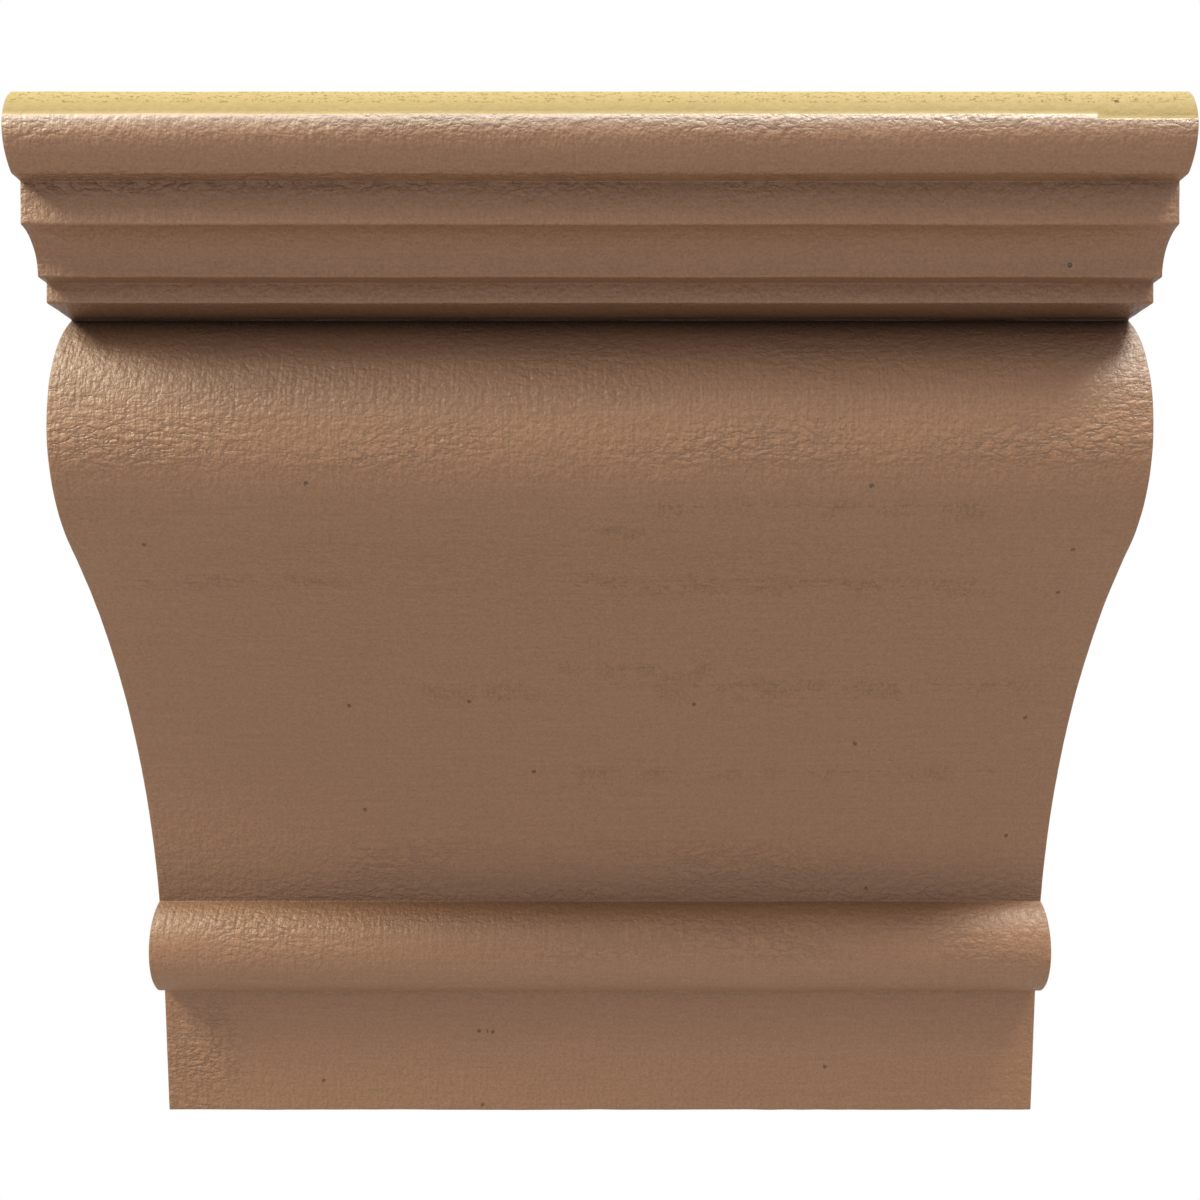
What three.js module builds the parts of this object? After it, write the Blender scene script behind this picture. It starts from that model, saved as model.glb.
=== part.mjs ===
// Urethane corbel: one solid casting in light foam, painted to pass for sawn timber.
//
// Millimetres, +Z up. The origin is the middle of the flat back, which bears on the wall, and
// the front faces -Y. A single profile, drawn as it is seen from the side, runs the full width
// along X. In the profile, x is the distance out from the wall and y is the height.

import * as THREE from 'three';

// Overall sizes
const WIDTH = 254;
const HEIGHT = 254;
const PROJECTION = 152.4;

// Cap. Heights stack down from the top. Setbacks run back towards the wall, from the foremost
// line of the nose bead.
const NOSE_HEIGHT = 18;
const NOSE_BULGE = 4.8;
const FASCIA_SETBACK = 9.2;
const FASCIA_HEIGHT = 9.4;
const COVE_RADIUS = 8.8;
const FILLET_STEP = 4.7;
const FILLET_HEIGHT = 4.5;

// Body. The cap's soffit cuts off the top of the belly's circle, by the tuck. The hollow sweep
// under the belly leaves it without a corner and comes down on the torus.
const BELLY_SETBACK = 22.5;
const BELLY_RADIUS = 33.7;
const BELLY_TUCK = 6.3;
const SWEEP_RADIUS = 168;

// Foot. The plinth is measured out from the wall at its bottom edge, and leans out by the rake.
const TORUS_HEIGHT = 25.9;
const TORUS_BULGE = 9;
const TORUS_STEP = 4.5;
const PLINTH_HEIGHT = 37.3;
const PLINTH_THICKNESS = 44.6;
const PLINTH_RAKE = 4.2;

// Every arc of the profile is drawn with twice this many straight steps.
const ARC_DIVISIONS = 14;
// Points closer than this are one point, where one arc runs into the next.
const SAME_POINT = 0.001;

// A round moulding from one height down to a lower one, bulging out from its root line.
function addBead(outline, root, top, bottom, bulge) {
  const halfHeight = (top - bottom) / 2;
  const radius = (halfHeight ** 2 + bulge ** 2) / (2 * bulge);
  const centreX = root + bulge - radius;
  const halfAngle = Math.atan2(halfHeight, radius - bulge);
  outline.absarc(centreX, bottom + halfHeight, radius, halfAngle, -halfAngle, true);
}

// The centre, in front of the profile, of the circle that touches the belly's circle from
// outside and passes through the foot of the sweep.
function findSweepCentre(bellyCentre, sweepFoot) {
  const reach = BELLY_RADIUS + SWEEP_RADIUS;
  const towardsFoot = sweepFoot.clone().sub(bellyCentre);
  const span = towardsFoot.length();
  towardsFoot.normalize();
  const towardsFront = new THREE.Vector2(-towardsFoot.y, towardsFoot.x);
  const along = (reach ** 2 - SWEEP_RADIUS ** 2 + span ** 2) / (2 * span);
  const across = Math.sqrt(reach ** 2 - along ** 2);
  return bellyCentre.clone().addScaledVector(towardsFoot, along).addScaledVector(towardsFront, across);
}

function angleFrom(centre, point) {
  return Math.atan2(point.y - centre.y, point.x - centre.x);
}

// Nose bead, fascia, cove and fillet, from the top down to the soffit.
function addCap(outline, heights) {
  const fasciaX = PROJECTION - FASCIA_SETBACK;
  const filletX = fasciaX - COVE_RADIUS - FILLET_STEP;
  addBead(outline, PROJECTION - NOSE_BULGE, heights.top, heights.noseFoot, NOSE_BULGE);
  outline.lineTo(fasciaX, heights.noseFoot);
  outline.lineTo(fasciaX, heights.fasciaFoot);
  outline.absarc(fasciaX, heights.coveFoot, COVE_RADIUS, Math.PI / 2, Math.PI, false);
  outline.lineTo(filletX, heights.coveFoot);
  outline.lineTo(filletX, heights.soffit);
}

// The S-shaped face: the belly's arc out of the soffit, then the sweep down to the torus.
function addBody(outline, heights, torusRoot) {
  const bellyCentre = new THREE.Vector2(
    PROJECTION - BELLY_SETBACK - BELLY_RADIUS,
    heights.soffit + BELLY_TUCK - BELLY_RADIUS,
  );
  const sweepFoot = new THREE.Vector2(torusRoot, heights.torusTop);
  const sweepCentre = findSweepCentre(bellyCentre, sweepFoot);
  const neckAngle = Math.asin((heights.soffit - bellyCentre.y) / BELLY_RADIUS);
  const bellyEnd = angleFrom(bellyCentre, sweepCentre);
  const sweepStart = angleFrom(sweepCentre, bellyCentre);
  const sweepEnd = angleFrom(sweepCentre, sweepFoot);
  outline.absarc(bellyCentre.x, bellyCentre.y, BELLY_RADIUS, neckAngle, bellyEnd, true);
  outline.absarc(sweepCentre.x, sweepCentre.y, SWEEP_RADIUS, sweepStart, sweepEnd, false);
}

// Torus bead and raked plinth, down to the bottom.
function addFoot(outline, heights, torusRoot) {
  addBead(outline, torusRoot, heights.torusTop, heights.torusFoot, TORUS_BULGE);
  outline.lineTo(torusRoot - TORUS_STEP, heights.torusFoot);
  outline.lineTo(PLINTH_THICKNESS, heights.bottom);
}

// The outline goes up the flat back and then down the front.
function makeProfile() {
  const top = HEIGHT / 2;
  const noseFoot = top - NOSE_HEIGHT;
  const fasciaFoot = noseFoot - FASCIA_HEIGHT;
  const coveFoot = fasciaFoot - COVE_RADIUS;
  const soffit = coveFoot - FILLET_HEIGHT;
  const bottom = -HEIGHT / 2;
  const torusFoot = bottom + PLINTH_HEIGHT;
  const torusTop = torusFoot + TORUS_HEIGHT;
  const heights = { top, noseFoot, fasciaFoot, coveFoot, soffit, torusTop, torusFoot, bottom };
  const torusRoot = PLINTH_THICKNESS + PLINTH_RAKE + TORUS_STEP;

  const outline = new THREE.Path();
  outline.moveTo(0, heights.bottom);
  outline.lineTo(0, heights.top);
  addCap(outline, heights);
  addBody(outline, heights, torusRoot);
  addFoot(outline, heights, torusRoot);

  const points = outline.getPoints(ARC_DIVISIONS);
  const distinct = points.filter((point, i) => i === 0 || point.distanceTo(points[i - 1]) > SAME_POINT);
  return new THREE.Shape(distinct);
}

const paintedFoam = new THREE.MeshStandardMaterial({
  name: 'painted_foam',
  color: '#86674f',
  roughness: 0.6,
  metalness: 0,
});

// The profile's x runs out from the wall, its y runs up, and the extrusion runs across.
function makeCorbelBody() {
  const geometry = new THREE.ExtrudeGeometry(makeProfile(), { depth: WIDTH, bevelEnabled: false });
  geometry.translate(0, 0, -WIDTH / 2);
  const outwards = new THREE.Vector3(0, -1, 0);
  const upwards = new THREE.Vector3(0, 0, 1);
  const across = new THREE.Vector3(-1, 0, 0);
  const turn = new THREE.Matrix4().makeBasis(outwards, upwards, across);
  const body = new THREE.Mesh(geometry, paintedFoam);
  body.name = 'corbel_body';
  body.setRotationFromMatrix(turn);
  return body;
}

const corbel = new THREE.Group();
corbel.name = 'urethane_corbel';
corbel.add(makeCorbelBody());

export default corbel;
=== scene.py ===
"""Looks of the urethane corbel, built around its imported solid.

The casting is one closed mesh: the side profile run across the width, with softened edges, a low
relief and the step of the paint film, closed by two flat ends. Sizes are millimetres in this
script's own working, and metres once they reach Blender.
"""

import math

import bpy
import numpy as np
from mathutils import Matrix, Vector
from mathutils.geometry import delaunay_2d_cdt


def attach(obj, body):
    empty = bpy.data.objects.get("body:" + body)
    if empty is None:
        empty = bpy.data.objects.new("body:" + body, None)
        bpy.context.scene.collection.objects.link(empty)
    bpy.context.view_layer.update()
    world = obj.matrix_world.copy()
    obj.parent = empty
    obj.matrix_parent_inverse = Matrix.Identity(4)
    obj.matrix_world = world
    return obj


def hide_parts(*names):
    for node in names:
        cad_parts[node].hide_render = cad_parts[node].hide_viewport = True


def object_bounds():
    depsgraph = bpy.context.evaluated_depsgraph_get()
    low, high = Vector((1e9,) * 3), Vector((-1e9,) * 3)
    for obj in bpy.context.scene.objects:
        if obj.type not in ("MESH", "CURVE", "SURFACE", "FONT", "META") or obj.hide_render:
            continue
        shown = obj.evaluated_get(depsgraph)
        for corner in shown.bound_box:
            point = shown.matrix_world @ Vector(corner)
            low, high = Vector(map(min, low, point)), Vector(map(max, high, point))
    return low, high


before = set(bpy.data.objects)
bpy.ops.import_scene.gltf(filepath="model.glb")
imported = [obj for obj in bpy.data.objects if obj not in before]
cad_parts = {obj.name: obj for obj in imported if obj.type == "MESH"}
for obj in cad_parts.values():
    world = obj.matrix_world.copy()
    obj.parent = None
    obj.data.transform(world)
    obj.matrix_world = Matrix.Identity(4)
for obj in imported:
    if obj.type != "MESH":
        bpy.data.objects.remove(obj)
cad_low, cad_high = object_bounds()

MM = 0.001
WIDTH, PROJECTION, HEIGHT = (size / MM for size in cad_high - cad_low)
TOP = HEIGHT / 2
END = WIDTH / 2

# The mouldings of the profile, as the solid has them.
NOSE_HEIGHT = 18
NOSE_BULGE = 4.8
FASCIA_SETBACK = 9.2
FASCIA_HEIGHT = 9.4
COVE_RADIUS = 8.8
FILLET_STEP = 4.7
FILLET_HEIGHT = 4.5
BELLY_SETBACK = 22.5
BELLY_RADIUS = 33.7
BELLY_TUCK = 6.3
SWEEP_RADIUS = 168
TORUS_HEIGHT = 25.9
TORUS_BULGE = 9
TORUS_STEP = 4.5
PLINTH_HEIGHT = 37.3
PLINTH_THICKNESS = 44.6
PLINTH_RAKE = 4.2

# The mesh: how far apart its rows and columns lie on each face, and how soft its edges are.
FRONT_STEP = 1.18
OTHER_STEPS = {"top": 6, "bottom": 5, "back": 11}
SIDE_STEP = 2.3
TRACE_STEP = 0.1
FEWEST_ARC_POINTS = 4
CORNER_SOFTNESS = 0.6
INNER_SOFTNESS = 0.12
CORNER_POINTS = 3
END_SOFTNESS = 0.25
END_POINTS = 3
# A row or column closer than this to the paint's edge gives way to it, in steps.
EDGE_CLEARANCE = 0.3
# Points inside a side: how far they stray from a square grid, and how far they keep from the
# border, in steps.
SIDE_JITTER = 0.25
SIDE_CLEARANCE = 0.45
MERGE_DISTANCE = 1e-7
# In the grain map the sides lie this far out, left and right, clear of the front.
SIDE_GRAIN_OFFSET = 600

# Relief of the faces: long waves from dressing the pattern, and a rough skin over them. Each has
# a height, and its lengths down the profile and across the width.
WAVE_HEIGHT = 0.035
WAVE_LENGTHS = (14, 40)
SKIN_HEIGHT = 0.02
SKIN_LENGTHS = (4.5, 9)
SIDE_WAVE_HEIGHT = 0.05
SIDE_WAVE_LENGTHS = (18, 9)
RELIEF_LIMIT = 0.1
TOP_RELIEF_SHARE = 0.3
# The sides, relief and all, lie within this depth of the solid's ends.
SIDE_DEPTH = 0.21
# Random fields are sampled in cells of this size, and are this much larger than their face. A side
# starts a little way in on its own.
FIELD_CELL = 0.6
FRONT_MARGIN = 4
SIDE_MARGIN = 6
SIDE_START = 2
PATCH_MARGIN = 8
SPARE_CELLS = 8
# Places past a field are read just short of its last cell, which has no next one to blend with.
SHORT_OF_LAST_CELL = 1.001

# The paint stops on the nose at this height, and a little lower past a step in its edge.
PAINT_TOP = 120.1
PAINT_DROP = 1.1
PAINT_STEP_X = 105.6
PAINT_FILM = 0.1
# From this height up to its edge the paint is painted paler: a painted highlight along the nose's top.
HIGHLIGHT_FOOT = 115.5
# The bare foam of the nose is smooth up to this height, and pitted above it.
FOAM_SMOOTH_TOP = 122.7
FOAM_SMOOTH_FADE = 0.4
# The foam is cut, and bare, this close to the wall.
CUT_DEPTH = 0.2

# Camera: level with the middle of the corbel and close in front of it.
FRAME_PX = 1200
FOCAL_PX = 1300
AXIS_ROW_PX = 679.7
CAMERA_GAP = 275.4
SENSOR_WIDTH = 36

# Places read off the photograph, in pixels of its 1200-pixel square.
PINHOLES_PX = (
    (872, 486), (1073, 550), (1058, 593), (144, 545), (349, 706), (694, 705), (1025, 718),
    (534, 772), (365, 810), (1006, 836), (866, 889), (324, 1081), (825, 1067), (1070, 265),
    (855, 744), (469, 702), (306, 484), (493, 1032), (479, 1031), (483, 1105), (1117, 101),
)
# Rows of grey smudges on the body: left and right end, row, and how far the marks reach below it.
SMUDGE_ROWS_PX = (
    (670, 980, 506, 9),
    (575, 650, 531, 6),
    (590, 760, 580, 10),
    (790, 960, 586, 8),
    (575, 700, 668, 12),
    (670, 1010, 684, 14),
    (590, 980, 772, 6),
    (150, 330, 580, 6),
    (440, 520, 690, 10),
)
# Stretches where the skin is most crumpled: left, top, right and bottom, how far it fades out
# above and below them in mm, and how much.
CRUMPLED_PX = (
    (0, 114, 1200, 124, 1, 4.5, 0.42),
    (40, 182, 420, 182, 0.6, 4, 1.3),
    (420, 182, 1180, 182, 0.6, 3.5, 0.55),
    (46, 330, 1154, 400, 3, 5, 0.3),
    (46, 440, 400, 456, 10, 4, 0.8),
    (400, 440, 1154, 455, 8, 4, 0.85),
    (1040, 385, 1154, 430, 5, 5, 0.6),
    (140, 850, 1060, 898, 5, 0.5, 0.4),
    (150, 925, 420, 955, 5, 3, 0.6),
    (420, 925, 1050, 955, 5, 3, 0.6),
    (165, 1000, 200, 1110, 1, 1, 1.5),
)
# Where two depths of the face share a row of the photograph, this weight picks the nearer one.
NEARER_WEIGHT = 0.02

# How crumpled the skin is elsewhere on the front and on the sides, and how patchy it is.
EVEN_CRUMPLE = 0.1
SIDE_CRUMPLE = 0.05
CRUMPLE_SIDE_FADE = 18
PATCH_CELL = 2.0
PATCH_LENGTHS = (50, 18)
PATCH_LEVEL = 0.7
PATCH_SWING = 0.45
PATCH_RANGE = (0.2, 1.25)

# Painted shade in the creases: how far it reaches from each, in mm, and how much there is.
NECK_PAINTED_SHADE = ((28, 0.3), (9, 0.22))
CREASE_PAINTED_SHADE = (3, 0.5)
FASCIA_PAINTED_SHADE = (12, 0.27)
TORUS_PAINTED_SHADE = (20, 0.38)
# Round the neck there is a wider painted shade too: how far it is full, where it ends, and how much.
NECK_SHADE = (18, 38, 0.3)
# The cap's underside has this share of the painted shade of the body under it.
CAP_SHADE_SHARE = 0.4
# A point this close to a crease's height still counts as past it.
LEVEL_SLACK = 0.05

# Smudge rows wander in waves. Each has a height, a length over two pi, and a shift per row.
SMUDGE_WAVES = ((0.15, 5.1, 1), (0.1, 2.3, 2))
# Smudges are full up to the rise above their row, and fade out over these distances round it.
SMUDGE_RISE = 0.8
SMUDGE_FADE_ABOVE = 1.2
SMUDGE_FADE_BELOW = 2.0
SMUDGE_FADE_BESIDE = 12
# Before any row is looked at, the nearest one counts as this far away.
FAR_BELOW = 50.0

# A pinhole is deep up to the first distance from its middle and gone at the second, in mm.
PINHOLE_EDGE = (0.3, 0.65)
PINHOLE_DEPTH = 0.35
# How far a pinhole's colour is darkened: painted shade inside it.
PINHOLE_SHADE = 0.75

# Sizes of the skin's marks, in mm along the grain and across it.
CREASE_SIZE = (5.4, 2.6)
DIMPLE_SIZE = (1.5, 1.9)
SAW_LINE_SIZE = (1.1, 15)
SPECK_SIZE = (2.4, 1.1)
CLUSTER_SIZE = (10, 5)
TICK_SIZE = (0.8, 2.2)
STREAK_SIZE = (26, 0.8)
GRAIN_SIZE = (0.75, 0.6)
# Their height as bump in mm: how much crumpled skin adds, and how much there is everywhere.
CREASE_BUMP = (0.24, 0.04)
DIMPLE_BUMP = (0.04, 0.3)
SAW_LINE_BUMP = (0.04, 0.12)
BARE_BUMP_CHANGE = -0.6
CREASE_GAIN = 4
CREASE_POWER = 0.6

# Between which values of its noise each kind of mark comes in or fades out. The smudges' line
# fades out between two distances from its middle, in mm.
SCRIBBLE_RANGE = (0.01, 0.05)
FLECK_RANGE = (0.48, 0.64)
CLUSTER_RANGE = (0.46, 0.58)
TICK_RANGE = (0.52, 0.64)
LINE_RANGE = (0.05, 0.3)
LINE_BREAK_RANGE = (0.48, 0.62)
TINT_RANGE = (0.45, 0.95)
FOLD_RANGE = (0.1, 0.7)
PIT_RANGE = (0.48, 0.6)
PIT_GRAIN_RANGE = (0.45, 0.58)
SHEEN_RANGE = (0.3, 0.7)

# How strongly each kind of mark colours the paint and the foam.
FLECK_AMOUNT = 0.24
TICK_AMOUNT = 0.3
LINE_AMOUNT = 0.36
STREAK_SHARE = 0.4
# Painted shade in the skin's folds: how much crumpling adds, and how much there is everywhere.
FOLD_SHADE = (0.2, 0.05)
FOLD_CRUMPLE_LIMIT = 0.8
PIT_AMOUNT = 0.8
CUT_PIT_CHANGE = -0.55

PAINT_LIGHT = (0.246, 0.117, 0.057, 1)
PAINT_DARK = (0.204, 0.095, 0.043, 1)
PAINT_HIGHLIGHT = (0.24, 0.158, 0.12, 1)
SOOT = (0.06, 0.03, 0.008, 1)
# Colour of the painted shade in the creases and the skin's folds.
SHADE_COLOUR = (0.045, 0.023, 0.014, 1)
# Colour of the painted shade inside the pinholes.
HOLE_SHADE = (0.05, 0.028, 0.018, 1)
FOAM = (0.203, 0.141, 0.058, 1)
FOAM_PIT = (0.085, 0.066, 0.008, 1)
# The same foam painted paler for the back: painted light where the lamps reach it least.
BACK_FOAM_PAINTED_PALER = (0.5, 0.4, 0.2, 1)
PAINT_ROUGHNESS = (0.5, 0.6)
BARE_ROUGHNESS_CHANGE = 0.25
PAINT_SPECULAR = 0.6
BARE_SPECULAR_CHANGE = -0.4

# Studio, in metres.
LIGHT_DISTANCE = 1.1
LIGHT_AIM = (0, -0.1, 0.02)
FLOOR_REACH = 1.8
FLOOR_DROP = 1.3
FLOOR_COLOUR = (0.6, 0.6, 0.59, 1)
FLOOR_ROUGHNESS = 0.8

SEED = 7


def arc(centre, radius, start, end):
    count = max(FEWEST_ARC_POINTS, int(radius * abs(end - start) / TRACE_STEP))
    angles = np.linspace(start, end, count)
    return np.column_stack([centre[0] + radius * np.cos(angles), centre[1] + radius * np.sin(angles)])


def line(*points):
    return np.array(points, float)


def bead(root, top, bottom, bulge):
    """A round moulding from one height down to a lower one, bulging out from its root line."""
    half = (top - bottom) / 2
    radius = (half**2 + bulge**2) / (2 * bulge)
    spread = math.atan2(half, radius - bulge)
    return arc((root + bulge - radius, bottom + half), radius, spread, -spread)


def angle_from(centre, point):
    return math.atan2(point[1] - centre[1], point[0] - centre[0])


def body_curve(soffit, foot):
    """The belly's arc out of the soffit, and the hollow sweep that leaves it without a corner."""
    belly = np.array([PROJECTION - BELLY_SETBACK - BELLY_RADIUS, soffit + BELLY_TUCK - BELLY_RADIUS])
    foot = np.array(foot)
    span = np.linalg.norm(foot - belly)
    down = (foot - belly) / span
    forward = np.array([-down[1], down[0]])
    reach = BELLY_RADIUS + SWEEP_RADIUS
    along = (reach**2 - SWEEP_RADIUS**2 + span**2) / (2 * span)
    sweep = belly + down * along + forward * math.sqrt(reach**2 - along**2)
    neck = math.asin((soffit - belly[1]) / BELLY_RADIUS)
    upper = arc(belly, BELLY_RADIUS, neck, angle_from(belly, sweep))
    lower = arc(sweep, SWEEP_RADIUS, angle_from(sweep, belly), angle_from(sweep, foot))
    return np.vstack([upper, lower[1:]])


def profile_runs():
    """The profile as runs from corner to corner: out from the wall along the top, down the front,
    back along the bottom and up the wall. x is out from the wall, y is up."""
    nose_foot = TOP - NOSE_HEIGHT
    fascia_foot = nose_foot - FASCIA_HEIGHT
    cove_foot = fascia_foot - COVE_RADIUS
    soffit = cove_foot - FILLET_HEIGHT
    torus_foot = -TOP + PLINTH_HEIGHT
    torus_top = torus_foot + TORUS_HEIGHT
    nose = PROJECTION - NOSE_BULGE
    fascia = PROJECTION - FASCIA_SETBACK
    cove = fascia - COVE_RADIUS
    fillet = cove - FILLET_STEP
    torus = PLINTH_THICKNESS + PLINTH_RAKE + TORUS_STEP
    plinth = torus - TORUS_STEP
    body = body_curve(soffit, (torus, torus_top))
    return {
        "top": line((0, TOP), (nose, TOP)),
        "nose": bead(nose, TOP, nose_foot, NOSE_BULGE),
        "nose step": line((nose, nose_foot), (fascia, nose_foot)),
        "fascia": line((fascia, nose_foot), (fascia, fascia_foot)),
        "cove": arc((fascia, cove_foot), COVE_RADIUS, math.pi / 2, math.pi),
        "cove step": line((cove, cove_foot), (fillet, cove_foot)),
        "fillet": line((fillet, cove_foot), (fillet, soffit)),
        "soffit": line((fillet, soffit), body[0]),
        "body": body,
        "torus": bead(torus, torus_top, torus_foot, TORUS_BULGE),
        "torus step": line((torus, torus_foot), (plinth, torus_foot)),
        "plinth": line((plinth, torus_foot), (PLINTH_THICKNESS, -TOP)),
        "bottom": line((PLINTH_THICKNESS, -TOP), (0, -TOP)),
        "back": line((0, -TOP), (0, TOP)),
    }


def lengths_along(points):
    return np.concatenate([[0], np.cumsum(np.linalg.norm(np.diff(points, axis=0), axis=1))])


def points_at(points, places):
    lengths = lengths_along(points)
    return np.column_stack([np.interp(places, lengths, points[:, i]) for i in range(2)])


def with_paint_edge(places, edge, step):
    """The places with a close pair put in, on both sides of the paint's edge."""
    clear = places[abs(places - edge) > EDGE_CLEARANCE * step]
    return np.sort(np.append(clear, [edge - PAINT_FILM / 2, edge + PAINT_FILM / 2]))


def sample_run(points, step, trims, edge_heights):
    """Evenly spaced points of a run, clear of the corners at its ends, and close together round
    the heights where the paint's edge crosses it."""
    lengths = lengths_along(points)
    longest_trim = lengths[-1] / 3
    first, last = min(trims[0], longest_trim), lengths[-1] - min(trims[1], longest_trim)
    places = np.linspace(first, last, max(2, round((last - first) / step) + 1))
    for height in edge_heights:
        edge = np.interp(-height, -points[:, 1], lengths)
        places = with_paint_edge(places, edge, step)
    return points_at(points, places)


def corner_softness(before, after):
    """Outer corners of the casting are soft, inner ones nearly sharp."""
    arriving, leaving = before[-1] - before[-2], after[1] - after[0]
    turns_out = arriving[0] * leaving[1] - arriving[1] * leaving[0] < 0
    return CORNER_SOFTNESS if turns_out else INNER_SOFTNESS


def rounded_corner(start, corner, end):
    t = np.arange(1, CORNER_POINTS + 1)[:, None] / (CORNER_POINTS + 1)
    return (1 - t) ** 2 * start + 2 * t * (1 - t) * corner + t**2 * end


def make_loop():
    """The whole profile as one closed ring of points, its corners rounded."""
    runs = profile_runs()
    names = list(runs)
    after = dict(zip(names, names[1:] + names[:1]))
    before = {follower: name for name, follower in after.items()}
    softness = {name: corner_softness(runs[name], runs[after[name]]) for name in names}
    sampled = {}
    for name, points in runs.items():
        step = OTHER_STEPS.get(name, FRONT_STEP)
        trims = softness[before[name]], softness[name]
        edge_heights = (PAINT_TOP, PAINT_TOP - PAINT_DROP) if name == "nose" else ()
        sampled[name] = sample_run(points, step, trims, edge_heights)
    ring = []
    for name in names:
        ring.append(sampled[name])
        ring.append(rounded_corner(sampled[name][-1], runs[name][-1], sampled[after[name]][0]))
    return np.vstack(ring)


def outward_normals(ring):
    tangent = np.roll(ring, -1, axis=0) - np.roll(ring, 1, axis=0)
    tangent /= np.linalg.norm(tangent, axis=1)[:, None]
    return np.column_stack([-tangent[:, 1], tangent[:, 0]])


def make_columns():
    """Places across the width, and how far the profile draws in at each: it does so at the ends."""
    flat = END - END_SOFTNESS
    across = np.linspace(-flat, flat, round(2 * flat / FRONT_STEP) + 1)
    across = with_paint_edge(across, PAINT_STEP_X, FRONT_STEP)
    turn = np.linspace(0, math.pi / 2, END_POINTS + 1)[1:]
    edge = flat + END_SOFTNESS * np.sin(turn)
    drawn_in = END_SOFTNESS * (1 - np.cos(turn))
    columns = np.concatenate([-edge[::-1], across, edge])
    inset = np.concatenate([drawn_in[::-1], np.zeros(len(across)), drawn_in])
    return columns, inset


def smooth_field(size, cell, lengths, seed):
    """A smooth random field over size mm, in cells of cell mm, of unit deviation, with waves about
    as long as lengths, in mm along each side. It is sampled with field_at."""
    rng = np.random.default_rng(seed)
    shape = [int(side / cell) + SPARE_CELLS for side in size]
    spectrum = np.fft.rfft2(rng.standard_normal(shape))
    first = np.fft.fftfreq(shape[0], cell)[:, None] * lengths[0]
    second = np.fft.rfftfreq(shape[1], cell)[None, :] * lengths[1]
    squared = first**2 + second**2
    field = np.fft.irfft2(spectrum * squared * np.exp(-2 * squared), shape)
    return field / field.std()


def field_at(field, cell, first, second):
    """The field's value between its cells, at places in mm along its two sides."""
    i = np.clip(first / cell, 0, field.shape[0] - SHORT_OF_LAST_CELL)
    j = np.clip(second / cell, 0, field.shape[1] - SHORT_OF_LAST_CELL)
    i0, j0 = i.astype(int), j.astype(int)
    u, v = i - i0, j - j0
    near = field[i0, j0] * (1 - v) + field[i0, j0 + 1] * v
    far = field[i0 + 1, j0] * (1 - v) + field[i0 + 1, j0 + 1] * v
    return near * (1 - u) + far * u


def relief_heights(ring, columns):
    """How far each point of the grid stands out from its profile: the relief, which only cuts in,
    is weaker on the top and absent on the back, and bare foam lies a paint film lower."""
    down = lengths_along(ring)
    size = (down[-1] + FRONT_MARGIN, WIDTH + FRONT_MARGIN)
    waves = smooth_field(size, FIELD_CELL, WAVE_LENGTHS, SEED)
    skin = smooth_field(size, FIELD_CELL, SKIN_LENGTHS, SEED + 1)
    s, x = np.meshgrid(down, columns, indexing="ij")
    height = WAVE_HEIGHT * field_at(waves, FIELD_CELL, s, x + END)
    height += SKIN_HEIGHT * field_at(skin, FIELD_CELL, s, x + END)
    height = np.clip(height, -RELIEF_LIMIT, RELIEF_LIMIT) - RELIEF_LIMIT
    is_back = ring[:, 0] < CORNER_SOFTNESS
    is_top = ring[:, 1] > TOP - CORNER_SOFTNESS
    height *= np.where(is_back, 0, np.where(is_top, TOP_RELIEF_SHARE, 1.0))[:, None]
    paint_edge = np.where(x > PAINT_STEP_X, PAINT_TOP - PAINT_DROP, PAINT_TOP)
    bare = ring[:, 1][:, None] > paint_edge
    return height - PAINT_FILM * (bare & ~is_back[:, None])


def grid_points(ring, columns, height):
    """The points of the casting's skin, as rows of the ring by columns across the width."""
    normals = outward_normals(ring)
    out = ring[:, :1] + normals[:, :1] * height
    up = ring[:, 1:] + normals[:, 1:] * height
    return np.stack([np.broadcast_to(columns, height.shape), -out, up], axis=-1)


def grid_quads(index):
    """The faces between neighbouring rows and columns. The last row joins the first."""
    below = np.roll(index, -1, axis=0)
    return np.stack([index[:, :-1], below[:, :-1], below[:, 1:], index[:, 1:]], axis=-1).reshape(-1, 4)


def grid_grain(ring, columns):
    """For every corner of every quad, its place across the width and down the profile."""
    down = lengths_along(np.vstack([ring, ring[:1]]))
    place = np.stack(np.meshgrid(columns, down), axis=-1)
    corners = [place[:-1, :-1], place[1:, :-1], place[1:, 1:], place[:-1, 1:]]
    return np.stack(corners, axis=2).reshape(-1, 2)


def inside(points, outline):
    """Which points lie inside a closed outline, by counting the edges to their right."""
    count = np.zeros(len(points), int)
    for (x0, y0), (x1, y1) in zip(outline, np.roll(outline, -1, axis=0)):
        crosses = (points[:, 1] < y0) != (points[:, 1] < y1)
        if y0 != y1:
            count += crosses & (points[:, 0] < x0 + (points[:, 1] - y0) * (x1 - x0) / (y1 - y0))
    return count % 2 == 1


def points_inside(outline):
    """A loose grid of points inside a side's outline, clear of its border."""
    low, high = outline.min(0), outline.max(0)
    back, up = np.meshgrid(
        np.arange(low[0] + SIDE_STEP / 2, high[0], SIDE_STEP),
        np.arange(low[1] + SIDE_STEP / 2, high[1], SIDE_STEP),
    )
    points = np.column_stack([back.ravel(), up.ravel()])
    strays = np.random.default_rng(SEED + 5).uniform(-SIDE_JITTER, SIDE_JITTER, points.shape)
    points += strays * SIDE_STEP
    points = points[inside(points, outline)]
    gap = np.min(np.linalg.norm(points[:, None, :] - outline[None, ::2, :], axis=2), axis=1)
    return points[gap > SIDE_CLEARANCE * SIDE_STEP]


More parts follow.
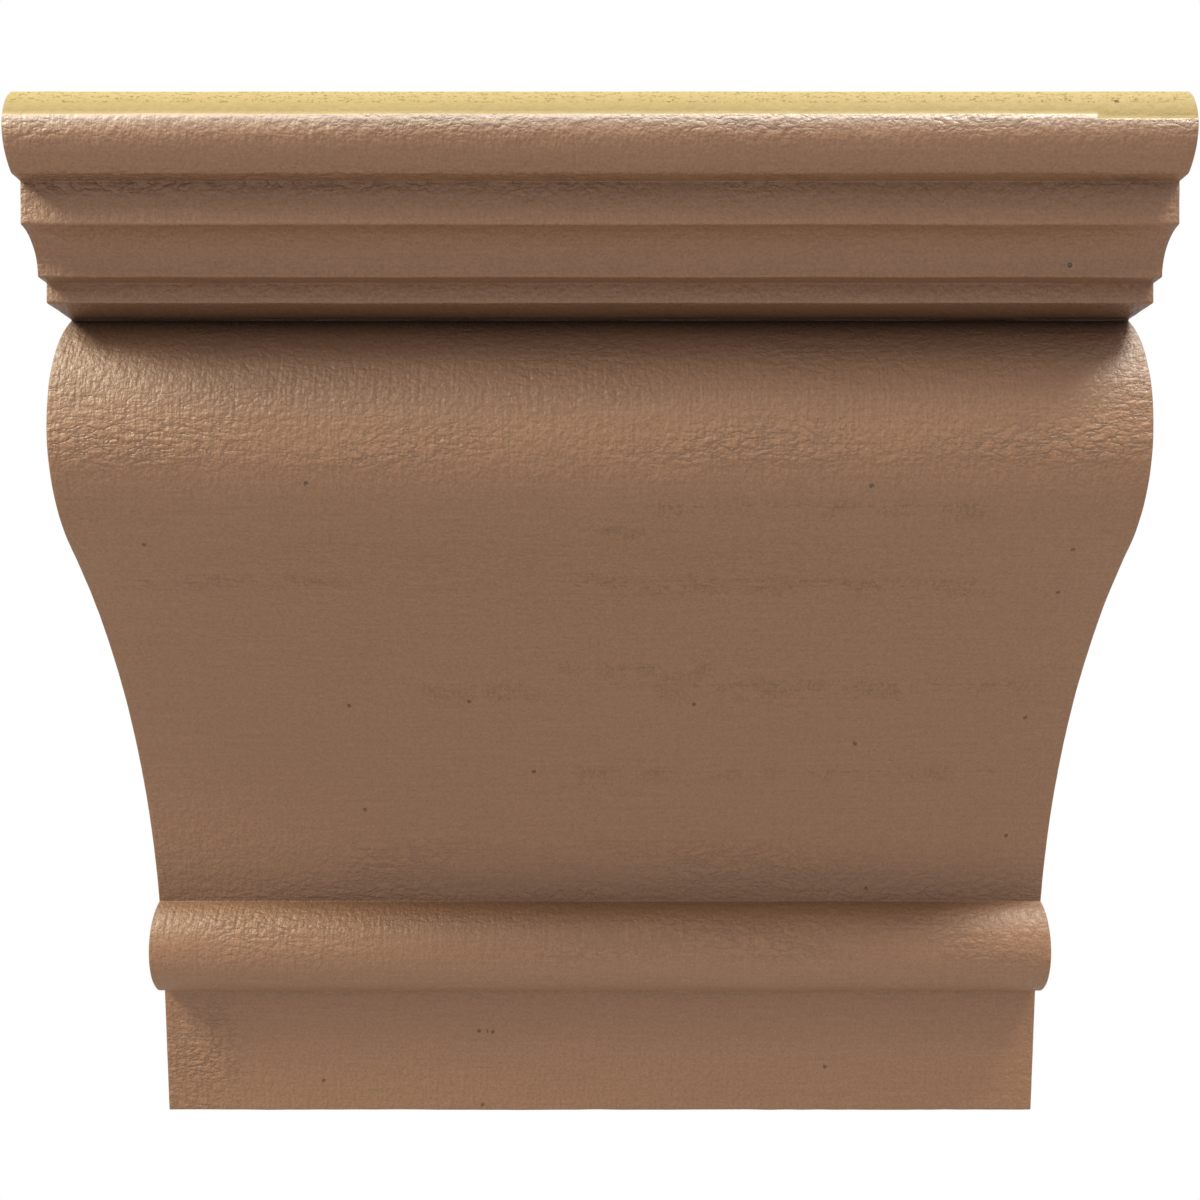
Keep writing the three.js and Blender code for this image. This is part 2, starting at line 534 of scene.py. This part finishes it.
def make_side(end, border, outline, next_index):
    """One flat end of the casting, on the border of the grid. end is -1 at the left and 1 at the
    right. Returns its own points, its triangles and their places along the grain."""
    inner = points_inside(outline)
    points = [Vector(point) for point in np.vstack([outline, inner])]
    whole_outline = list(range(len(outline)))
    made, _, faces, _, _, _ = delaunay_2d_cdt(points, [], [whole_outline], 1, MERGE_DISTANCE)
    if len(made) != len(points):
        raise RuntimeError("the side's outline crosses itself")
    size = (PROJECTION + SIDE_MARGIN, HEIGHT + SIDE_MARGIN)
    waves = smooth_field(size, FIELD_CELL, SIDE_WAVE_LENGTHS, SEED + 8 + end)
    places = inner[:, 0] + PROJECTION + SIDE_START, inner[:, 1] + TOP + SIDE_START
    relief = SIDE_WAVE_HEIGHT * field_at(waves, FIELD_CELL, *places)
    x = end * (END - RELIEF_LIMIT + np.clip(relief, -RELIEF_LIMIT, RELIEF_LIMIT))
    corners = np.array([list(face) for face in faces])
    place = np.array([list(point) for point in made])
    a, b, c = (place[corners[:, k]] for k in range(3))
    facing = (b[:, 0] - a[:, 0]) * (c[:, 1] - a[:, 1]) - (b[:, 1] - a[:, 1]) * (c[:, 0] - a[:, 0])
    turned = (facing > 0) != (end > 0)
    corners[turned] = corners[turned][:, ::-1]
    index = np.concatenate([border, next_index + np.arange(len(inner))])
    grain = place[corners.ravel()] + [end * SIDE_GRAIN_OFFSET, 0]
    return np.column_stack([x, inner]), index[corners], grain


def build_casting():
    """Points, quads, triangles and places along the grain of the whole casting, in mm."""
    ring = make_loop()
    columns, inset = make_columns()
    points = grid_points(ring, columns, relief_heights(ring, columns) - inset).reshape(-1, 3)
    index = np.arange(len(points)).reshape(len(ring), len(columns))
    triangles, grain = [], [grid_grain(ring, columns)]
    for end, border in ((-1, index[:, 0]), (1, index[:, -1])):
        outline = points[border][:, 1:]
        inner, faces, side_grain = make_side(end, border, outline, len(points))
        points = np.vstack([points, inner])
        triangles.append(faces)
        grain.append(side_grain)
    return points, grid_quads(index), np.vstack(triangles), np.vstack(grain)


def traced(points):
    """The run with points close together all along it, on its straight stretches too."""
    length = lengths_along(points)[-1]
    return points_at(points, np.linspace(0, length, 1 + math.ceil(length / TRACE_STEP)))


def face_place(px, row):
    """The point of the front face that the camera sees at a pixel of the photograph, in mm."""
    runs = profile_runs()
    face = np.vstack([traced(runs[name]) for name in runs if name not in ("bottom", "back")])
    distance = CAMERA_GAP + PROJECTION - face[:, 0]
    rows = AXIS_ROW_PX - FOCAL_PX * face[:, 1] / distance
    seen = np.argmin(abs(rows - row) + NEARER_WEIGHT * distance)
    return np.array([(px - FRAME_PX / 2) * distance[seen] / FOCAL_PX, -face[seen, 0], face[seen, 1]])


def fade(distance, reach):
    """One at no distance or less, falling smoothly to none at reach."""
    t = np.clip(1 - distance / reach, 0, 1)
    return t * t * (3 - 2 * t)


def box_mask(points, left, top, right, bottom, fade_above, fade_below):
    """One inside a box of the photograph's pixels, falling smoothly to none outside it."""
    corner, opposite = face_place(left, top), face_place(right, bottom)
    beside = fade(np.maximum(corner[0] - points[:, 0], points[:, 0] - opposite[0]), CRUMPLE_SIDE_FADE)
    above = fade(points[:, 2] - corner[2], fade_above)
    below = fade(opposite[2] - points[:, 2], fade_below)
    return beside * above * below


def on_a_side(points):
    return abs(points[:, 0]) > END - SIDE_DEPTH


def crumple_mask(points):
    """How crumpled the skin is: most in the named stretches, and patchy everywhere."""
    size = (WIDTH + PATCH_MARGIN, HEIGHT + PATCH_MARGIN)
    patches = smooth_field(size, PATCH_CELL, PATCH_LENGTHS, SEED + 3)
    patchy = PATCH_SWING * field_at(patches, PATCH_CELL, points[:, 0] + END, points[:, 2] + TOP)
    mask = np.zeros(len(points))
    for *box, amount in CRUMPLED_PX:
        mask = np.maximum(mask, amount * box_mask(points, *box))
    mask[on_a_side(points)] = SIDE_CRUMPLE
    return (EVEN_CRUMPLE + mask) * np.clip(PATCH_LEVEL + patchy, *PATCH_RANGE)


def painted_shade_mask(points):
    """Painted shade round the crease under the soffit, and a little under the nose and over the torus."""
    runs = profile_runs()
    out, up = -points[:, 1], points[:, 2]
    neck, nose_foot, torus_top = runs["body"][0], runs["fascia"][0], runs["torus"][0]

    def away_from(corner):
        return np.hypot(out - corner[0], up - corner[1])

    def shade_round(corner, reach, amount):
        return amount * fade(away_from(corner), reach)

    shade_start, shade_end, shade = NECK_SHADE
    # Each layer darkens the paint round a crease: painted shade.
    painted_shade = sum(shade_round(neck, *layer) for layer in NECK_PAINTED_SHADE)
    painted_shade += shade * fade(away_from(neck) - shade_start, shade_end - shade_start)
    painted_shade[up > neck[1] - LEVEL_SLACK] *= CAP_SHADE_SHARE
    painted_shade += shade_round(neck, *CREASE_PAINTED_SHADE)
    painted_shade += shade_round(nose_foot, *FASCIA_PAINTED_SHADE) * (up < nose_foot[1] + LEVEL_SLACK)
    painted_shade += shade_round(torus_top, *TORUS_PAINTED_SHADE)
    return np.where(on_a_side(points), 0, np.clip(painted_shade, 0, 1))


def way_to_nearest_pinhole(points):
    places = np.array([face_place(*spot) for spot in PINHOLES_PX])
    ways = points[:, None, :] - places[None]
    nearest = np.argmin(np.linalg.norm(ways, axis=2), axis=1)
    return ways[np.arange(len(points)), nearest]


def smudge_rows(points):
    """How far each point is below its nearest smudge row, in mm, and how strong the smudge is."""
    x = points[:, 0]
    below = np.full(len(points), FAR_BELOW)
    strength = np.zeros(len(points))
    for row_number, (left, right, row, reach) in enumerate(SMUDGE_ROWS_PX):
        start, end = face_place(left, row), face_place(right, row + reach)
        waves = [size * np.sin(x / length + shift * row_number) for size, length, shift in SMUDGE_WAVES]
        here = start[2] + sum(waves) - points[:, 2]
        below = np.where(abs(here) < abs(below), here, below)
        smudge = fade(np.maximum(start[0] - x, x - end[0]), SMUDGE_FADE_BESIDE)
        smudge *= fade(-here - SMUDGE_RISE, SMUDGE_FADE_ABOVE)
        smudge *= fade(here - (start[2] - end[2]), SMUDGE_FADE_BELOW)
        strength = np.maximum(strength, smudge)
    return below, np.where(on_a_side(points), 0, strength)


def keep_per_vertex(mesh, name, values):
    if values.ndim == 1:
        mesh.attributes.new(name, "FLOAT", "POINT").data.foreach_set("value", values.astype(np.float32))
    else:
        data = mesh.attributes.new(name, "FLOAT_VECTOR", "POINT").data
        data.foreach_set("vector", values.astype(np.float32).ravel())


def keep_masks(mesh, points):
    """Keep at the vertices what the material needs to know about their place on the casting."""
    below, strength = smudge_rows(points)
    keep_per_vertex(mesh, "crumple", crumple_mask(points))
    # Painted shade in the creases, kept at the vertices.
    keep_per_vertex(mesh, "painted_shade", painted_shade_mask(points))
    keep_per_vertex(mesh, "smudge_below", below)
    keep_per_vertex(mesh, "smudge_strength", strength)
    keep_per_vertex(mesh, "pinhole_way", way_to_nearest_pinhole(points))


def make_mesh(name, points, quads, triangles, grain):
    mesh = bpy.data.meshes.new(name)
    loops = np.concatenate([quads.ravel(), triangles.ravel()])
    sizes = np.concatenate([np.full(len(quads), 4), np.full(len(triangles), 3)])
    starts = np.concatenate([[0], np.cumsum(sizes)[:-1]])
    mesh.vertices.add(len(points))
    mesh.vertices.foreach_set("co", (points * MM).astype(np.float32).ravel())
    mesh.loops.add(len(loops))
    mesh.loops.foreach_set("vertex_index", loops.astype(np.int32))
    mesh.polygons.add(len(sizes))
    mesh.polygons.foreach_set("loop_start", starts.astype(np.int32))
    mesh.polygons.foreach_set("use_smooth", np.ones(len(sizes), bool))
    mesh.uv_layers.new(name="grain").uv.foreach_set("vector", grain.astype(np.float32).ravel())
    keep_masks(mesh, points)
    mesh.update(calc_edges=True)
    mesh.validate()
    return mesh


class Graph:
    """Short names for building the nodes of one material. Values go between them as sockets."""

    def __init__(self, name):
        self.material = bpy.data.materials.new(name)
        self.material.use_nodes = True
        self.nodes = self.material.node_tree.nodes
        self.links = self.material.node_tree.links
        self.shader = self.nodes["Principled BSDF"]

    def node(self, kind, **settings):
        node = self.nodes.new("ShaderNode" + kind)
        for name, value in settings.items():
            setattr(node, name, value)
        return node

    def feed(self, socket, value):
        if isinstance(value, bpy.types.NodeSocket):
            self.links.new(value, socket)
        else:
            socket.default_value = value

    def math(self, operation, *values):
        node = self.node("Math", operation=operation)
        for socket, value in zip(node.inputs, values):
            self.feed(socket, value)
        return node.outputs[0]

    def product(self, first, *others):
        for value in others:
            first = self.math("MULTIPLY", first, value)
        return first

    def total(self, first, *others):
        for value in others:
            first = self.math("ADD", first, value)
        return first

    def scaled(self, value, gain, level):
        return self.math("MULTIPLY_ADD", value, gain, level)

    def off_middle(self, noise):
        """How far a noise is from its middle value, either way."""
        return self.math("ABSOLUTE", self.math("SUBTRACT", noise, 0.5))

    def vector(self, operation, *values):
        node = self.node("VectorMath", operation=operation)
        for socket, value in zip(node.inputs, values):
            self.feed(socket, value)
        return node.outputs["Value" if operation == "LENGTH" else "Vector"]

    def noise(self, place, size, detail=2.0, roughness=0.5):
        """Noise whose features are about as large as size, in mm along the grain and across it."""
        node = self.node("TexNoise", noise_dimensions="2D")
        self.feed(node.inputs["Vector"], self.vector("DIVIDE", place, (*size, 1)))
        node.inputs["Scale"].default_value = 1
        node.inputs["Detail"].default_value = detail
        node.inputs["Roughness"].default_value = roughness
        return node.outputs["Fac"]

    def kept(self, name, output="Fac"):
        """What the mesh keeps at its vertices or corners under a name."""
        node = self.node("Attribute", attribute_name=name)
        return node.outputs[output]

    def ramp(self, value, low, high, to_low=0.0, to_high=1.0):
        node = self.node("MapRange", interpolation_type="SMOOTHSTEP")
        self.feed(node.inputs["Value"], value)
        for name, amount in zip(("From Min", "From Max", "To Min", "To Max"), (low, high, to_low, to_high)):
            node.inputs[name].default_value = amount
        return node.outputs["Result"]

    def mix(self, factor, first, second):
        node = self.node("Mix", data_type="RGBA")
        self.feed(node.inputs["Factor"], factor)
        for socket, value in ((node.inputs[6], first), (node.inputs[7], second)):
            self.feed(socket, value)
        return node.outputs[2]

    def place_in_mm(self):
        split = self.node("SeparateXYZ")
        place = self.node("TexCoord").outputs["Object"]
        self.feed(split.inputs[0], self.vector("DIVIDE", place, (MM,) * 3))
        return split.outputs

    def bump(self, height):
        """Turn a height in mm into the shader's normal."""
        node = self.node("Bump")
        node.inputs["Distance"].default_value = MM
        node.inputs["Strength"].default_value = 1
        self.feed(node.inputs["Height"], height)
        self.feed(self.shader.inputs["Normal"], node.outputs[0])


def bare_places(g):
    """Where there is no paint, which is past its edge and on the back, and where foam was cut,
    which is the back alone."""
    x, y, z = g.place_in_mm()
    past_step = g.math("GREATER_THAN", x, PAINT_STEP_X)
    edge = g.scaled(past_step, -PAINT_DROP, PAINT_TOP)
    above = g.math("GREATER_THAN", z, edge)
    cut = g.math("GREATER_THAN", y, -CUT_DEPTH)
    return g.math("MAXIMUM", above, cut), cut, z


def pinholes(g):
    """Holes left by air in the mould."""
    away = g.vector("LENGTH", g.kept("pinhole_way", "Vector"))
    return g.ramp(away, *PINHOLE_EDGE, 1, 0)


def skin_relief(g, grain, creased, dimples, crumple, bare, hole):
    """Height of the skin in mm: leathery creases, dimples and the upright lines of the saw, all
    weaker on bare foam, and the pinholes."""
    sawn = g.noise(grain, SAW_LINE_SIZE, detail=1)
    relief = g.total(
        g.product(creased, g.scaled(crumple, *CREASE_BUMP)),
        g.product(dimples, g.scaled(crumple, *DIMPLE_BUMP)),
        g.product(sawn, g.scaled(crumple, *SAW_LINE_BUMP)),
    )
    relief = g.product(relief, g.scaled(bare, BARE_BUMP_CHANGE, 1))
    return g.scaled(hole, -PINHOLE_DEPTH, relief)


def add_soot(g, paint, grain, dimples, specks):
    """Grey marks on the paint: flecks all over, and rows of upright ticks along a broken line."""
    strength = g.kept("smudge_strength")
    scribble = g.ramp(g.off_middle(dimples), *SCRIBBLE_RANGE, 1, 0)
    flecks = g.product(scribble, g.ramp(specks, *FLECK_RANGE), FLECK_AMOUNT)
    clusters = g.ramp(g.noise(grain, CLUSTER_SIZE, detail=2), *CLUSTER_RANGE)
    ticks = g.ramp(g.noise(grain, TICK_SIZE, detail=2, roughness=0.6), *TICK_RANGE)
    ticks = g.product(g.math("MAXIMUM", ticks, scribble), clusters, strength, TICK_AMOUNT)
    line = g.ramp(g.math("ABSOLUTE", g.kept("smudge_below")), *LINE_RANGE, 1, 0)
    line = g.product(line, strength, g.ramp(specks, *LINE_BREAK_RANGE), LINE_AMOUNT)
    paint = g.mix(g.math("MAXIMUM", flecks, ticks), paint, SOOT)
    return g.mix(line, paint, SOOT)


def paint_colour(g, grain, z, creased, dimples, specks, grains, crumple):
    """Tan-brown paint with faint streaks, a painted highlight towards the nose's top, and painted shade in
    its folds and creases.
    """
    streaks = g.noise(grain, STREAK_SIZE, detail=2, roughness=0.6)
    tint = g.ramp(g.scaled(streaks, STREAK_SHARE, grains), *TINT_RANGE)
    paint = g.mix(tint, PAINT_DARK, PAINT_LIGHT)
    # Painted highlight: paler paint towards the top of the nose.
    paint = g.mix(g.ramp(z, HIGHLIGHT_FOOT, PAINT_TOP), paint, PAINT_HIGHLIGHT)
    # Painted shade in the valleys of the skin's folds.
    fold_shade = g.scaled(g.math("MINIMUM", crumple, FOLD_CRUMPLE_LIMIT), *FOLD_SHADE)
    folds = g.product(g.ramp(creased, *FOLD_RANGE, 1, 0), fold_shade)
    paint = g.mix(folds, paint, SHADE_COLOUR)
    paint = add_soot(g, paint, grain, dimples, specks)
    # Painted shade in the creases, darkest nearest them.
    return g.mix(g.kept("painted_shade"), paint, SHADE_COLOUR)


def foam_colour(g, z, cut, specks, grains):
    """Bare foam: yellow with olive pits on its skin, and painted paler on the back, a painted lighter tone
    of the same foam where the lamps reach it least.
    """
    skin_pitted = g.ramp(z, FOAM_SMOOTH_TOP, FOAM_SMOOTH_TOP + FOAM_SMOOTH_FADE)
    pitted = g.math("MAXIMUM", cut, skin_pitted)
    pits = g.product(g.ramp(specks, *PIT_RANGE), g.ramp(grains, *PIT_GRAIN_RANGE), pitted)
    pits = g.product(pits, g.scaled(cut, CUT_PIT_CHANGE, PIT_AMOUNT))
    return g.mix(pits, g.mix(cut, FOAM, BACK_FOAM_PAINTED_PALER), FOAM_PIT)


def painted_foam():
    g = Graph("painted_foam_look")
    grain = g.kept("grain", "Vector")
    crumple = g.kept("crumple")
    bare, cut, z = bare_places(g)
    hole = pinholes(g)
    cells = g.noise(grain, CREASE_SIZE, detail=2.5, roughness=0.55)
    creased = g.math("POWER", g.product(g.off_middle(cells), CREASE_GAIN), CREASE_POWER)
    dimples = g.noise(grain, DIMPLE_SIZE, detail=2, roughness=0.6)
    specks = g.noise(grain, SPECK_SIZE, detail=3, roughness=0.75)
    grains = g.noise(grain, GRAIN_SIZE, detail=1, roughness=0.6)
    g.bump(skin_relief(g, grain, creased, dimples, crumple, bare, hole))

    paint = paint_colour(g, grain, z, creased, dimples, specks, grains, crumple)
    colour = g.mix(bare, paint, foam_colour(g, z, cut, specks, grains))
    # Painted shade inside the pinholes.
    colour = g.mix(g.product(hole, PINHOLE_SHADE), colour, HOLE_SHADE)
    sheen = g.ramp(dimples, *SHEEN_RANGE, *PAINT_ROUGHNESS)
    specular = g.scaled(bare, BARE_SPECULAR_CHANGE, PAINT_SPECULAR)
    g.feed(g.shader.inputs["Base Color"], colour)
    g.feed(g.shader.inputs["Roughness"], g.scaled(bare, BARE_ROUGHNESS_CHANGE, sheen))
    g.feed(g.shader.inputs["Specular IOR Level"], specular)
    return g.material


def add_to_scene(name, data):
    added = bpy.data.objects.new(name, data)
    bpy.context.scene.collection.objects.link(added)
    return added


def add_camera():
    data = bpy.data.cameras.new("camera")
    data.sensor_width = SENSOR_WIDTH
    data.lens = SENSOR_WIDTH * FOCAL_PX / FRAME_PX
    data.shift_y = (AXIS_ROW_PX - FRAME_PX / 2) / FRAME_PX
    camera = add_to_scene("camera", data)
    camera.location = (0, -(PROJECTION + CAMERA_GAP) * MM, 0)
    camera.rotation_euler = (math.pi / 2, 0, 0)
    bpy.context.scene.camera = camera


def add_surroundings():
    """A plain white surround, whose light reaches every side."""
    world = bpy.data.worlds.new("studio")
    world.use_nodes = True
    world.node_tree.nodes["Background"].inputs["Color"].default_value = (1, 1, 1, 1)
    bpy.context.scene.world = world
    bpy.context.scene.view_settings.view_transform = "Standard"


def add_area_light(name, azimuth, elevation, size, colour, watts):
    """A softbox aimed at the corbel. Azimuth runs from straight in front, to the right."""
    turn, rise = math.radians(azimuth), math.radians(elevation)
    towards = Vector((math.sin(turn) * math.cos(rise), -math.cos(turn) * math.cos(rise), math.sin(rise)))
    data = bpy.data.lights.new(name, "AREA")
    data.shape = "RECTANGLE"
    data.size, data.size_y = size
    data.color = colour
    data.energy = watts
    light = add_to_scene(name, data)
    light.location = Vector(LIGHT_AIM) + LIGHT_DISTANCE * towards
    light.rotation_euler = towards.to_track_quat("Z", "Y").to_euler()


def make_floor():
    mesh = bpy.data.meshes.new("floor")
    directions = ((-1, -1), (1, -1), (1, 1), (-1, 1))
    corners = [(x * FLOOR_REACH, y * FLOOR_REACH, -FLOOR_DROP) for x, y in directions]
    mesh.from_pydata(corners, [], [(0, 1, 2, 3)])
    material = bpy.data.materials.new("pale_floor")
    material.use_nodes = True
    shader = material.node_tree.nodes["Principled BSDF"]
    shader.inputs["Base Color"].default_value = FLOOR_COLOUR
    shader.inputs["Roughness"].default_value = FLOOR_ROUGHNESS
    mesh.materials.append(material)
    return add_to_scene("floor", mesh)


casting = add_to_scene("corbel_casting", make_mesh("corbel_casting", *build_casting()))
casting.data.materials.append(painted_foam())
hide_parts("corbel_body")
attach(casting, "root")

add_camera()
add_surroundings()
add_area_light("left_softbox", -66, 42, (0.34, 0.4), (1, 0.96, 0.74), 19.5)
add_area_light("right_softbox", 66, 60, (0.34, 0.34), (1, 0.96, 0.82), 18.5)
add_area_light("overhead_softbox", 0, 72, (0.5, 0.3), (0.6, 0.92, 0.95), 10.5)

floor = make_floor()
